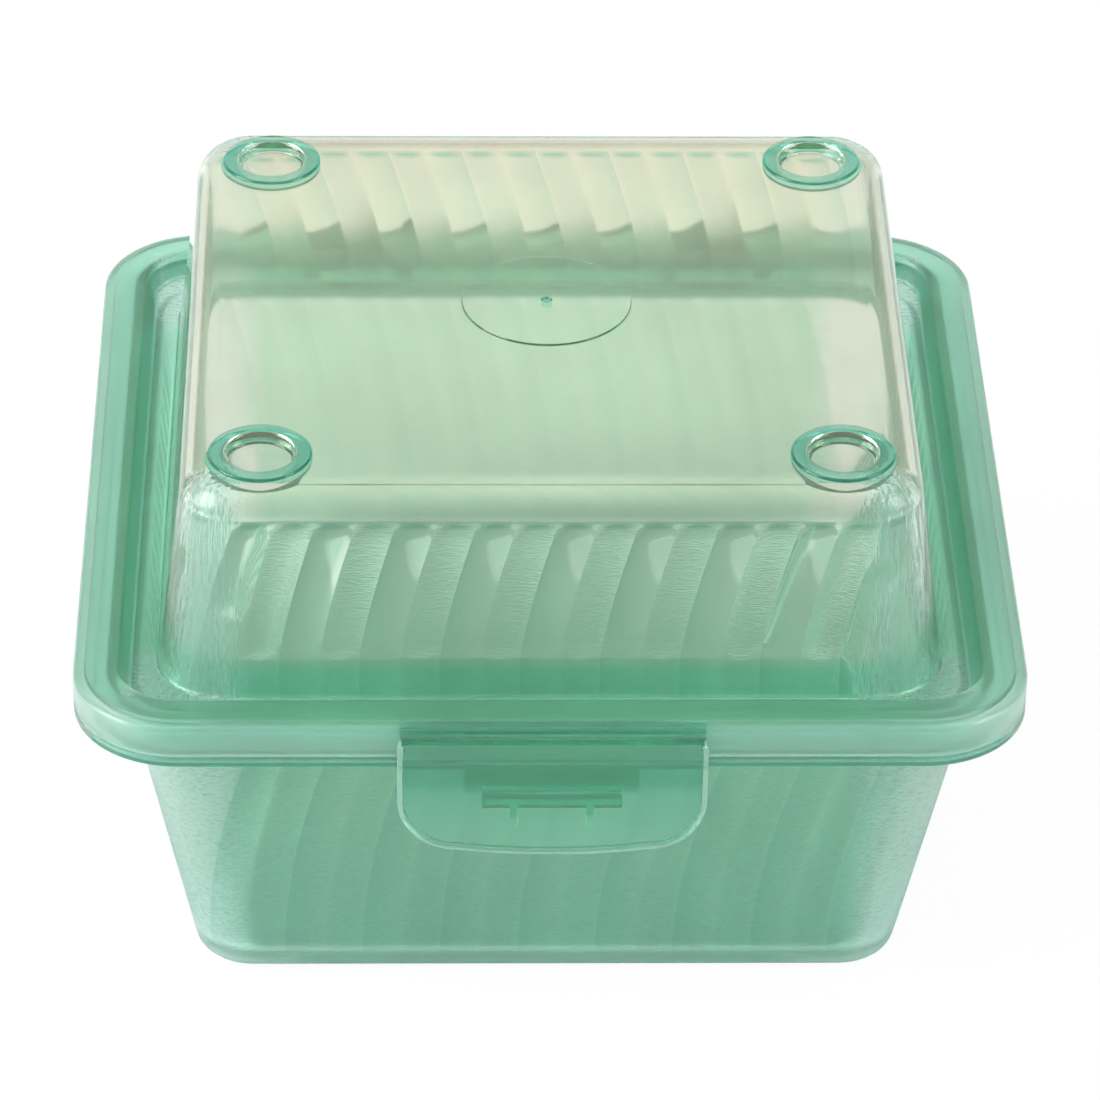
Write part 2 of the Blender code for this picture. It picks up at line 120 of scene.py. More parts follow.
# Places that the materials read are in metres.
TINT_SPAN = 0.08
RING_OFFSET = RING_PLACE / 1000
ROUND_CORNERS = (0.039, 0.043)
INSIDE_RIM = (0.0556, 0.0545)
WALL_TO_RIM = (0.0525, 0.0550)
FROSTED_FOOT = (0.004, 0.0005)
FOOT_FROST = 0.75
LID_CEILING = 0.0732
FROST = 0.3
PLASTIC_IOR = 1.49
FLECK = 0.58
# Strength of the painted highlight at the round corners.
CORNER_HIGHLIGHT_STRENGTH = 0.8
# Strength of the painted light on the lid's skirt and the tub's foot.
PAINTED_LIGHT_STRENGTH = 0.9
# Colour of the painted highlight at the round corners.
CORNER_HIGHLIGHT = (0.94, 0.99, 0.98)
# Colour of the painted light on the lid's skirt and the tub's foot.
PAINTED_LIGHT = (0.97, 1.0, 1.0)
# Colour of the painted shade on the ribs and on the rim slope.
PAINTED_SHADE = (0.18, 0.55, 0.46)
LID_BODY = (0.10, 0.78, 0.50)
TUB_BODY = (0.10, 0.83, 0.66)
RIM_TINT = (0.72, 0.94, 0.88)
# The lid's tints by height differ between the rim, the walls and the top: painted light and shade for how
# light falls through each.
LID_TINTS_WITH_LIGHT_AND_SHADE = [
    (0.0508, (0.59, 0.92, 0.78)),
    (0.0530, (0.86, 0.92, 0.78)),
    (0.0640, (0.96, 0.96, 0.84)),
    (0.0715, (0.99, 0.96, 0.85)),
    (0.0735, (0.76, 0.71, 0.62)),
    (0.0758, (1.00, 0.85, 0.75)),
]
# The tub's tints by height: darker and bluer towards the floor, painted shade.
TUB_TINTS_WITH_SHADE = [
    (0.0040, (0.54, 0.83, 0.72)),
    (0.0180, (0.55, 0.83, 0.70)),
    (0.0300, (0.60, 0.86, 0.70)),
    (0.0410, (0.60, 0.86, 0.70)),
    (0.0440, (0.82, 0.95, 0.90)),
]
# The tab's tints by height: darker from about 41 to 47 mm, painted shade where the catch lies behind the
# tab.
TAB_TINTS_WITH_SHADE = [
    (0.0330, (0.80, 0.97, 0.92)),
    (0.0414, (0.54, 0.87, 0.76)),
    (0.0430, (0.30, 0.75, 0.61)),
    (0.0452, (0.30, 0.75, 0.61)),
    (0.0472, (0.52, 0.87, 0.75)),
]
# Tints of the tab's paler edge: a painted highlight along its outline.
HIGHLIGHT_TINTS = [(0.03, RIM_TINT), (0.05, RIM_TINT)]


def between(low, high, share):
    return low + (high - low) * share


def spread(start, end, steps):
    """Evenly spaced values from start to end, with both ends."""
    return [between(start, end, step / steps) for step in range(steps + 1)]


def clamped(share):
    return min(max(share, 0), 1)


def dome_half(z):
    return between(DOME_FOOT_HALF, DOME_TOP_HALF, (z - DOME_FOOT) / (DOME_TOP - DOME_FOOT))


def dome_centre(z):
    return between(DOME_FOOT_CENTRE, DOME_TOP_CENTRE, (z - DOME_FOOT) / (DOME_TOP - DOME_FOOT))


def tub_half(z):
    return between(TUB_FOOT_HALF, TUB_HEAD_HALF, z / FLANGE_UNDER)


def tub_centre(z):
    return between(TUB_FOOT_CENTRE, TUB_HEAD_CENTRE, z / FLANGE_UNDER)


def tub_inside_centre(z):
    return between(TUB_INSIDE_FOOT_CENTRE, TUB_INSIDE_HEAD_CENTRE, z / TUB_INSIDE_HEAD)


def soft_profile(corners, steps):
    """Rows (half width, height, corner centre) along a profile with its corners rounded over a length."""
    rows = []
    for index, (half, z, centre, soft) in enumerate(corners):
        here = Vector((half, z))
        if not soft:
            rows.append((half, z, centre))
            continue
        before = Vector(corners[index - 1][:2]) - here
        after = Vector(corners[index + 1][:2]) - here
        start = here + before.normalized() * soft
        end = here + after.normalized() * soft
        weight = sin(before.angle(after) / 2)
        for step in range(steps + 1):
            share = step / steps
            first = (1 - share) ** 2
            second = 2 * share * (1 - share) * weight
            third = share**2
            place = (start * first + here * second + end * third) / (first + second + third)
            rows.append((place.x, place.y, centre))
    return rows


def wall_place(half, centre, along):
    """Point on a rounded square and the way out of it there, so far round from the middle of its front."""
    corner = half - centre
    quarter = 2 * centre + corner * pi / 2
    side = round(along / quarter)
    local = along - side * quarter
    angle = max(abs(local) - centre, 0) / corner
    turn = Matrix.Rotation(side * pi / 2, 3, "Z")
    place = Vector((min(abs(local), centre) + corner * sin(angle), -centre - corner * cos(angle), 0))
    out = Vector((sin(angle), -cos(angle), 0))
    if local < 0:
        place.x = -place.x
        out.x = -out.x
    return turn @ place, turn @ out


class Ribs:
    """The leaning ribs of one shell: where they start and end, how they lean, and where they show."""

    def __init__(self, foot, head, start, lean, curve, fade, low):
        self.foot = foot
        self.head = head
        self.start = start
        self.lean = lean
        self.curve = curve
        self.fade = fade
        self.low = low

    def share_up(self, z):
        return clamped((z - self.foot) / (self.head - self.foot))

    def leaning(self, z):
        return self.start + self.lean * self.share_up(z) ** self.curve

    def ends(self, rib):
        """The ribs next to a corner are shorter, one at its foot and one at its head."""
        foot = between(self.foot, self.head, CORNER_RUNOUT) if rib == 0 else self.foot
        head = between(self.head, self.foot, CORNER_RUNOUT) if rib == RIBS - 1 else self.head
        return foot, head

    def rise(self, z, step):
        rib, column = divmod(step, RIB_COLUMNS)
        foot, head = self.ends(rib)
        share = clamped(min(z - foot, head - z) / RIB_RUNOUT)
        across = column / RIB_COLUMNS
        return RIB_RISE * max(4 * across * (1 - across) - (1 - share) ** 2, 0)

    def depth(self, z, column, smooth):
        """Painted shade: dark to pale across a smooth rib, most in its upper part, and a dark crescent at
        each head.
        """
        across = column / RIB_COLUMNS
        upper = 1 - self.fade * (1 - self.share_up(z))
        near_head = max(1 - abs(self.head - CRESCENT - z) / CRESCENT, 0)
        crescent = near_head * max(4 * across * (1 - across) - 0.2, 0)
        band = 1 - across if smooth else min(3 * across * (1 - across), GRAINED_BAND_SHADE)
        return min(BAND_SHADE * upper * band + CRESCENT_SHADE * crescent, 1)

    def shown(self, half, z):
        """On the wall, below the heads: the rim and the flange are further out."""
        return self.low <= z < self.head and half < TUB_HEAD_HALF - 0.1

    def grained(self, z, step):
        """Every second rib has a grain."""
        return step < RIBBED_COLUMNS and step // RIB_COLUMNS % 2 == 1 and z < self.head


def shell(outside, inside, ribs, frosted, light_share, slope_shade):
    """A closed shell: a grid whose rows run along the profile and whose columns run round the box.

    The ribs stand on the inside. Their painted shade lies on the outside of a frosted shell, else inside.
    """
    rows = [(row, 0) for row in outside] + [(row, 1) for row in inside]
    columns = 4 * SIDE_COLUMNS
    last = len(rows) - 1

    def column_at(x):
        return (x + 1) / 2 * columns

    def row_at(y):
        return (y + 1) / 2 * last

    bm = bmesh.new()
    bmesh.ops.create_grid(bm, x_segments=columns, y_segments=last, size=1)
    grain = bm.faces.layers.float.new("grain")
    # The edge layer holds painted light on the lid's skirt and the tub's foot.
    edge = bm.loops.layers.float.new("edge")
    # The depth layer holds painted shade: on the ribs and on the rim slope.
    depth = bm.loops.layers.float.new("depth")
    for face in bm.faces:
        middle = face.calc_center_median()
        step = int(column_at(middle.x)) % SIDE_COLUMNS
        (half, z, _), ribbed = rows[int(row_at(middle.y))]
        smooth = not ribs.grained(z, step)
        if not ribbed:
            face[grain] = frosted
            for loop in face.loops:
                _, own_z, _ = rows[round(row_at(loop.vert.co.y))][0]
                loop[edge] = light_share(half, own_z)
                # Painted shade on the rim slope.
                loop[depth] = slope_shade(half)
        elif not frosted and not smooth:
            face[grain] = RIB_GRAIN
        if ribbed != frosted and step < RIBBED_COLUMNS and ribs.shown(half, z):
            for loop in face.loops:
                right = loop.vert.co.x > middle.x
                loop[depth] = ribs.depth(z, step % RIB_COLUMNS + right, smooth)
    for vert in bm.verts:
        side, step = divmod(round(column_at(vert.co.x)) % columns, SIDE_COLUMNS)
        (half, z, centre), ribbed = rows[round(row_at(vert.co.y))]
        quarter = 2 * centre + (half - centre) * pi / 2
        field = min(RIB_FIELD, quarter * RIB_FIELD_SHARE)
        along = side * quarter - RIBS // 2 * field / RIBS + max(ribbed, frosted) * ribs.leaning(z)
        rise = 0
        if step < RIBBED_COLUMNS:
            along += field * step / RIBBED_COLUMNS
            rise = ribbed * ribs.rise(z, step)
        else:
            along += field + (quarter - field) * (step - RIBBED_COLUMNS) / CORNER_COLUMNS
        place, out = wall_place(half, centre, along)
        vert.co = place - out * rise + Vector((0, 0, z))
    bmesh.ops.remove_doubles(bm, verts=bm.verts, dist=MERGE_DISTANCE)
    bmesh.ops.holes_fill(bm, edges=[side for side in bm.edges if side.is_boundary], sides=0)
    return bm


def lathe(bm, profile, place, steps=72):
    """Turns a profile of radius and height about an upright axis and adds it to the mesh."""
    verts = [bm.verts.new((place[0] + radius, place[1], z)) for radius, z in profile]
    edges = [bm.edges.new(pair) for pair in zip(verts, verts[1:])]
    centre = (*place, 0)
    bmesh.ops.spin(
        bm, geom=verts + edges, cent=centre, axis=(0, 0, 1), angle=2 * pi, steps=steps, use_merge=True
    )


def slab(bm, outline, start, end, soft=0.0):
    """Extrudes an outline of depth and height from left to right, and softens its edges."""
    verts = [bm.verts.new((start, *point)) for point in outline]
    face = bmesh.ops.contextual_create(bm, geom=verts)["faces"][0]
    grown = bmesh.ops.extrude_face_region(bm, geom=[face])["geom"]
    moved = [item for item in grown if isinstance(item, bmesh.types.BMVert)]
    bmesh.ops.translate(bm, verts=moved, vec=(end - start, 0, 0))
    if soft:
        edges = dict.fromkeys(edge for vert in verts + moved for edge in vert.link_edges)
        sharp = [edge for edge in edges if edge.calc_face_angle(0) > 0.7]
        bmesh.ops.bevel(
            bm, geom=sharp, offset=soft, segments=3, profile=0.5, affect="EDGES", material=-1
        )


def arc(middle, radius, start, end, steps):
    angles = [radians(angle) for angle in spread(start, end, steps)]
    return [(middle[0] + radius * cos(angle), middle[1] + radius * sin(angle)) for angle in angles]


def finished(name, bm):
    """Makes an object of the mesh, in metres."""
    bmesh.ops.remove_doubles(bm, verts=bm.verts, dist=MERGE_DISTANCE)
    bmesh.ops.recalc_face_normals(bm, faces=bm.faces)
    bmesh.ops.scale(bm, vec=(0.001, 0.001, 0.001), verts=bm.verts)
    mesh = bpy.data.meshes.new(name)
    bm.to_mesh(mesh)
    bm.free()
    obj = bpy.data.objects.new(name, mesh)
    scene.collection.objects.link(obj)
    return obj


def combined(obj, *tools):
    """Joins or cuts the tools and leaves one plain mesh with crisp edges."""
    for tool, operation in tools:
        modifier = obj.modifiers.new(tool.name, "BOOLEAN")
        modifier.operation = operation
        modifier.solver = "MANIFOLD"
        modifier.object = tool
    bpy.context.view_layer.update()
    mesh = bpy.data.meshes.new_from_object(obj.evaluated_get(bpy.context.evaluated_depsgraph_get()))
    obj.modifiers.clear()
    obj.data = mesh
    for tool, _ in tools:
        bpy.data.objects.remove(tool)
    mesh.shade_smooth()
    mesh.set_sharp_from_angle(angle=CRISP_ANGLE)
    return obj


def skirt_light(half, z):
    """Painted light: the lid's skirt is paler from its ledge outwards."""
    return 0.7 if half > LEDGE_HALF - 0.2 else 0.0


def rim_slope_shade(half):
    """Painted shade on the slope from the foot of the dome up to the rim."""
    return 0.5 if 54.0 < half < 56.2 else 0.0


def foot_light(half, z):
    """Painted light: the tub's foot gets paler towards the floor, but not its flat bottom."""
    return 0.9 * clamped((4.5 - z) / 3.5) if half > 45.2 else 0.0


def no_slope_shade(half):
    return 0.0


def lid_cover():
    outside = soft_profile(
        [
            (42.0, DOME_TOP, DOME_TOP_CENTRE, 0),
            (DOME_TOP_HALF, DOME_TOP, DOME_TOP_CENTRE, 4.4),
            (DOME_FOOT_HALF, DOME_FOOT, DOME_FOOT_CENTRE, 0.6),
            (54.8, DOME_FOOT, RIM_CENTRE, 0.5),
            (56.0, RIM_TOP, RIM_CENTRE, 0.5),
            (LEDGE_HALF, RIM_TOP, RIM_CENTRE, 0.3),
            (LEDGE_HALF, LEDGE_TOP, RIM_CENTRE, 0.15),
            (RIM_HALF, LEDGE_TOP, RIM_CENTRE, 0.7),
            (RIM_HALF, SKIRT_FOOT, RIM_CENTRE, 0.4),
            (LEDGE_HALF, SKIRT_FOOT, RIM_CENTRE, 0.3),
            (LEDGE_HALF, GROOVE_TOP, RIM_CENTRE, 0.3),
            (57.5, GROOVE_TOP, RIM_CENTRE, 0.3),
            (56.5, SKIRT_FOOT, RIM_CENTRE, 0.2),
            (dome_half(SKIRT_FOOT) - LID_WALL, SKIRT_FOOT, dome_centre(SKIRT_FOOT), 0),
        ],
        6,
    )
    ribs = Ribs(foot=52.0, head=71.8, start=-4.1, lean=4.9, curve=1.3, fade=0.3, low=45.0)
    heights = [46.0, 48.0, 50.0]
    heights += spread(ribs.foot, 55.0, 8)[:-1] + spread(55.0, 69.0, 18)[:-1] + spread(69.0, ribs.head, 8)
    inside = [(dome_half(z) - LID_WALL, z, dome_centre(z)) for z in heights]
    ceiling = [
        (dome_half(71.9) - LID_WALL, 71.9, 40.7, 0),
        (46.2, DOME_CEILING, 40.5, 2.8),
        (42.0, DOME_CEILING, 40.5, 0),
    ]
    inside += soft_profile(ceiling, 6)
    cover = finished("lid_cover_clear", shell(outside, inside, ribs, 0, skirt_light, rim_slope_shade))

    raised = bmesh.new()
    ring = [(0, 74.4), (6.7, 74.4)] + arc((6.35, 76.35), 0.35, 0, 90, 5) + [(0, 76.7)]
    for place in CORNER_PLACES:
        lathe(raised, ring, place)
    disc = [(0, 75.6), (11.4, 75.6), (11.4, 76.55), (11.3, 76.65), (0.75, 76.65), (0.7, 76.6)]
    disc += [(0.55, 76.35), (0.35, 76.25), (0.2, 76.4), (0, 76.45)]
    lathe(raised, disc, (0, 0), 96)
    bores = bmesh.new()
    bore = [(0, 75.3)] + arc((3.8, 75.7), 0.4, 270, 356, 5) + arc((5.0, 76.2), 0.5, 176, 90, 6)
    bore += [(5.2, 77.0), (0, 77.0)]
    for place in CORNER_PLACES:
        lathe(bores, bore, place)

    hooks = bmesh.new()
    gap_out = degrees(asin(SNAP_HALF_GAP / KNUCKLE_RADIUS))
    gap_in = degrees(asin(SNAP_HALF_GAP / BORE_RADIUS))
    outline = [(61.2, 46.4)] + arc(HINGE, KNUCKLE_RADIUS, 135, SNAP_ANGLE - gap_out, 12)
    outline += arc(HINGE, BORE_RADIUS, SNAP_ANGLE - gap_in, SNAP_ANGLE - 360 + gap_in, 36)
    outline += arc(HINGE, KNUCKLE_RADIUS, SNAP_ANGLE + gap_out, 435, 24) + [(61.2, 49.7)]
    for station in HINGE_STATIONS:
        slab(hooks, outline, station - 5, station + 5, 0.25)
    return combined(
        cover,
        (finished("raised_rings", raised), "UNION"),
        (finished("ring_bores", bores), "DIFFERENCE"),
        (finished("hinge_hooks", hooks), "UNION"),
    )


def base_tub():
    wall = [(tub_half(z), z, tub_centre(z), 0) for z in spread(3.0, 42.0, 16)]
    outside = soft_profile(
        [
            (43.5, 0, TUB_FOOT_CENTRE, 0),
            (TUB_FOOT_HALF, 0, TUB_FOOT_CENTRE, 1.6),
            *wall,
            (TUB_HEAD_HALF, FLANGE_UNDER, TUB_HEAD_CENTRE, 0.8),
            (RIM_HALF, FLANGE_UNDER, RIM_CENTRE, 0.4),
            (RIM_HALF, FLANGE_TOP, RIM_CENTRE, 0.3),
            (59.2, FLANGE_TOP, RIM_CENTRE, 0.2),
            (59.2, BEAD_TOP, RIM_CENTRE, 0.4),
            (57.7, BEAD_TOP, RIM_CENTRE, 0.4),
            (57.7, FLANGE_TOP, RIM_CENTRE, 0.3),
            (tub_half(FLANGE_TOP) - TUB_WALL, FLANGE_TOP, tub_inside_centre(FLANGE_TOP), 0.5),
            (tub_half(44.2) - TUB_WALL, 44.2, tub_inside_centre(44.2), 0),
        ],
        6,
    )
    ribs = Ribs(foot=4.2, head=43.0, start=-3.9, lean=6.7, curve=1.8, fade=0.2, low=3.0)
    heights = [43.6]
    heights += spread(ribs.head, 40.0, 8)[:-1] + spread(40.0, 7.0, 22)[:-1] + spread(7.0, ribs.foot, 8)
    inside = [(tub_half(z) - TUB_WALL, z, tub_inside_centre(z)) for z in heights]
    floor = [
        (tub_half(4) - TUB_WALL, 4, tub_inside_centre(4), 0),
        (tub_half(TUB_FLOOR) - TUB_WALL, TUB_FLOOR, tub_inside_centre(TUB_FLOOR), 2),
        (41.0, TUB_FLOOR, 37.4, 0),
    ]
    inside += soft_profile(floor, 8)
    tub = finished("base_tub_frosted", shell(outside, inside, ribs, 1, foot_light, no_slope_shade))

    fittings = bmesh.new()
    catch_root = -tub_half(39.1) + 0.8
    shelf = [(-61.6, 41.3), (catch_root, 41.3), (catch_root, 44.7), (-61.6, 44.7)]
    slab(fittings, shelf, -11.15, 11.15, 0.2)
    pads = bmesh.new()
    pad = [(-59.8, 39.1), (catch_root, 39.1), (catch_root, 44.5), (-59.8, 44.5)]
    slab(pads, pad, -11.1, 11.1, 0.2)
    ear = [(tub_half(43.7) + 0.05, 43.7)] + arc(HINGE, 2.5, -90, 90, 24)
    ear += [(61.2, 44.7), (tub_half(44.7) + 0.05, 44.7)]
    pins = bmesh.new()
    for station in HINGE_STATIONS:
        for start in (station - 7.8, station + 5.4):
            slab(fittings, ear, start, start + 2.4, 0.2)
        slab(pins, arc(HINGE, PIN_RADIUS, 0, 348.75, 31), station - 6.6, station + 6.6)
    sockets = bmesh.new()
    socket = [(0, -1), (7.25, -1), (7.25, -0.2), (7.1, 0), (7.0, 0.2), (7.0, 0.8), (6.9, 0.9), (0, 0.9)]
    for place in CORNER_PLACES:
        lathe(sockets, socket, place)
    return combined(
        tub,
        (finished("catch_and_ears", fittings), "UNION"),
        (finished("catch_pad", pads), "UNION"),
        (finished("hinge_pins", pins), "UNION"),
        (finished("stacking_sockets", sockets), "DIFFERENCE"),
    )


def tab_outline(bm):
    """The flat outline of the tab: round lower corners, a slightly bowed foot and small upper corners."""
    corners = [(TAB_HALF, TAB_TOP), (-TAB_HALF, TAB_TOP), (-TAB_HALF, TAB_FOOT), (TAB_HALF, TAB_FOOT)]
    verts = [bm.verts.new((x, TAB_BACK, z)) for x, z in corners]
    bmesh.ops.contextual_create(bm, geom=verts)
    bmesh.ops.bevel(
        bm, geom=verts[2:], offset=7.5, segments=14, profile=0.5, affect="VERTICES", material=-1
    )
    upper = [vert for vert in bm.verts if vert.co.z > TAB_BORDER_HEAD]
    bmesh.ops.bevel(bm, geom=upper, offset=1.2, segments=6, profile=0.5, affect="VERTICES", material=-1)
    foot = TAB_FOOT + 0.01
    lower = [edge for edge in bm.edges if max(vert.co.z for vert in edge.verts) < foot]
    bmesh.ops.subdivide_edges(bm, edges=lower, cuts=15)
    for vert in bm.verts:
        if vert.co.z < foot:
            vert.co.z -= TAB_BOW * (1 - (vert.co.x / TAB_FLAT_HALF) ** 2)


def border(bm, width):
    """Sets a border of the given width into a flat mesh, and gives its new faces."""
    return bmesh.ops.inset_region(
        bm, faces=bm.faces[:], thickness=width, use_boundary=True, use_even_offset=True
    )["faces"]


def thickened(bm, soft):
    """Pulls a flat mesh out to the thickness of the tab and softens its edges."""
    grown = bmesh.ops.extrude_face_region(bm, geom=bm.faces[:])["geom"]
    moved = [item for item in grown if isinstance(item, bmesh.types.BMVert)]
    bmesh.ops.translate(bm, verts=moved, vec=(0, -TAB_THICKNESS, 0))
    rims = [edge for edge in bm.edges if edge.calc_face_angle(0) > 1]
    bmesh.ops.bevel(bm, geom=rims, offset=soft, segments=4, profile=0.5, affect="EDGES", material=-1)


def tab_highlight_edge():
    """The thick rounded edge of the tab, in a paler and milkier plastic: a painted highlight along its
    outline.
    """
    bm = bmesh.new()
    tab_outline(bm)
    bmesh.ops.recalc_face_normals(bm, faces=bm.faces)
    middle = bm.faces[:]
    rim = border(bm, TAB_BORDER)
    top = [face for face in rim if face.calc_center_median().z > TAB_BORDER_HEAD]
    bmesh.ops.delete(bm, geom=middle + top, context="FACES")
    thickened(bm, 0.25)
    return combined(finished("latch_tab_highlight_edge", bm))


def latch_tab():
    bm = bmesh.new()
    tab_outline(bm)
    rim = border(bm, TAB_BORDER + TAB_BORDER_GAP)
    lower = [face for face in rim if face.calc_center_median().z < TAB_BORDER_HEAD]
    bmesh.ops.delete(bm, geom=lower, context="FACES")
    thickened(bm, 0.1)
    tab = finished("latch_tab_milky", bm)

    inner = bmesh.new()
    hook = [(-63.6, 38.8), (-61.7, 38.8), (-60.8, 39.7), (-60.8, 41.0), (-63.6, 41.0)]
    slab(inner, hook, -8.95, 8.95, 0.15)
    web = bmesh.new()
    slab(web, [(-63.6, 48.9), (-62.3, 48.9), (-62.3, TAB_TOP), (-63.6, TAB_TOP)], -18.7, 18.7, 0.1)
    gussets = bmesh.new()
    gusset = [(-63.6, 35.8), (-62.8, 35.8), (-61.4, 39.35), (-63.6, 39.35)]
    for middle in (-4.9, 4.9):
        slab(gussets, gusset, middle - 0.5, middle + 0.5, 0.1)
    return combined(
        tab,
        (finished("hook", inner), "UNION"),
        (finished("web", web), "UNION"),
        (finished("gussets", gussets), "UNION"),
    )


def latch_film():
    """The thin film that bends: over the ledge of the lid, then down to the top of the tab."""
    bm = bmesh.new()
    over = [(-60.55, 50.62), (-60.7, 50.45), (-61.0, 50.38), (-61.9, 50.36), (-62.5, 50.2), (-62.9, 49.9)]
    over += [(-63.2, 49.6), (-63.5, 49.45)]
    under = [(-63.35, 49.2), (-62.9, 49.35), (-62.55, 49.75), (-62.2, 50.0), (-61.9, 50.13), (-60.55, 50.13)]
    slab(bm, over + under, -19.6, 19.6, 0.06)
    return combined(finished("latch_film", bm))


def fill(tree, socket, value):
    """Links an input to the socket that feeds it, or sets it to a plain value."""
    if isinstance(value, bpy.types.NodeSocket):
        tree.links.new(value, socket)
    else:
        socket.default_value = value


def fill_inputs(tree, node, **values):
    for name, value in values.items():
        fill(tree, node.inputs[name.replace("_", " ")], value)


def add_node(tree, kind, **values):
    node = tree.nodes.new("ShaderNode" + kind)
    fill_inputs(tree, node, **values)
    return node


def add_math(tree, operation, *values, kind="Math"):
    """The result of an operation on sockets and plain numbers."""
    node = tree.nodes.new("ShaderNode" + kind)
    node.operation = operation
    for socket, value in zip(node.inputs, values):
        fill(tree, socket, value)
    return node.outputs["Value" if operation == "LENGTH" else 0]


def add_vector_math(tree, operation, *values):
    return add_math(tree, operation, *values, kind="VectorMath")


def add_range(tree, value, **limits):
    return add_node(tree, "MapRange", Value=value, **limits).outputs[0]


def add_noise(tree, vector, scale, detail, roughness):
    noise = add_node(tree, "TexNoise", Vector=vector, Scale=scale, Detail=detail, Roughness=roughness)
    return noise.outputs[0]


def add_mix(tree, amount, before, colour):
    """A colour mixed by an amount into the one that was there before."""
    mix = add_node(tree, "Mix")
    mix.data_type = "RGBA"
    fill(tree, mix.inputs[0], amount)
    fill(tree, mix.inputs[6], before)
    fill(tree, mix.inputs[7], (*colour, 1))
    return mix.outputs[2]


def object_place(tree):
    return add_node(tree, "TexCoord").outputs["Object"]


def plane_distances(tree, place):
    """How far a point is from the two upright middle planes."""
    size = add_vector_math(tree, "ABSOLUTE", place)
    parts = add_node(tree, "SeparateXYZ", Vector=size).outputs
    return parts["X"], parts["Y"]


def new_material(name):
    material = bpy.data.materials.new(name)
    material.use_nodes = True
    return material, material.node_tree


def moulded_surface():
    """Shared effect: grain where the mould has it, drawn lines at the corners, a slow mottle all over."""
    tree = bpy.data.node_groups.new("moulded_surface", "ShaderNodeTree")
    sides = tree.interface
    sides.new_socket("Position", in_out="INPUT", socket_type="NodeSocketVector")
    for name in ("Grain", "Polish", "Frost", "Draw"):
        sides.new_socket(name, in_out="INPUT", socket_type="NodeSocketFloat")
    for name in ("Height", "Roughness", "Mottle", "Corner", "Fleck"):
        sides.new_socket(name, in_out="OUTPUT", socket_type="NodeSocketFloat")
    given = tree.nodes.new("NodeGroupInput").outputs
    place = given["Position"]
    streaks = add_noise(tree, add_vector_math(tree, "MULTIPLY", place, (1100, 1100, 4000)), 1.0, 3.0, 0.6)
    lines = add_noise(tree, add_vector_math(tree, "MULTIPLY", place, (1500, 1500, 90)), 1.0, 2.0, 0.5)

    aside, ahead = plane_distances(tree, place)
    nearest = add_math(tree, "MINIMUM", aside, ahead)
    furthest = add_math(tree, "MAXIMUM", aside, ahead)
    round_corner = add_range(tree, nearest, From_Min=ROUND_CORNERS[0], From_Max=ROUND_CORNERS[1])
    inside_rim = add_range(tree, furthest, From_Min=INSIDE_RIM[0], From_Max=INSIDE_RIM[1])
    # Round corners inside the rim: coarser grain, drawn lines, more roughness, and the mask for the painted
    # highlight there.
    corner = add_math(tree, "MULTIPLY", round_corner, inside_rim)

    coarser = add_range(tree, corner, To_Min=1.0, To_Max=3.0)
    gain = add_math(tree, "MULTIPLY", coarser, given["Grain"])
    fleck = add_math(tree, "MULTIPLY", add_math(tree, "SUBTRACT", streaks, 0.5), gain)
    grained = add_math(tree, "MULTIPLY", streaks, given["Grain"])
    drawn = add_math(tree, "MULTIPLY", corner, given["Draw"])
    height = add_math(tree, "MULTIPLY_ADD", lines, drawn, grained)
    matt = add_math(tree, "MULTIPLY_ADD", corner, 0.5, given["Grain"])
    matt.node.use_clamp = True
    roughness = add_range(tree, matt, To_Min=given["Polish"], To_Max=given["Frost"])
    mottle = add_noise(tree, place, 45.0, 2.0, 0.5)
    leave = tree.nodes.new("NodeGroupOutput")
    fill_inputs(tree, leave, Height=height, Roughness=roughness, Mottle=mottle, Corner=corner, Fleck=fleck)
    return tree


def mixed(material, colour, mask, strength):
    """Mixes a colour into the plastic's own colour where a mask says so."""
    tree = material.node_tree
    colour_input = tree.nodes["Principled BSDF"].inputs["Base Color"]
    before = colour_input.links[0].from_socket
    amount = add_math(tree, "MULTIPLY", mask, strength)
    tree.links.new(add_mix(tree, amount, before, colour), colour_input)


def attribute(tree, name):
    node = add_node(tree, "Attribute")
    node.attribute_name = name
    return node.outputs["Fac"]


def tint_and_shade_by_height(tree, height, tints):
    ramp = add_node(tree, "ValToRGB", Fac=add_range(tree, height, From_Max=TINT_SPAN))
    stops = ramp.color_ramp.elements
    while len(stops) < len(tints):
        stops.new(1.0)
    for stop, (level, colour) in zip(stops, tints):
        stop.position = level / TINT_SPAN
        stop.color = (*colour, 1)
    return ramp.outputs[0]


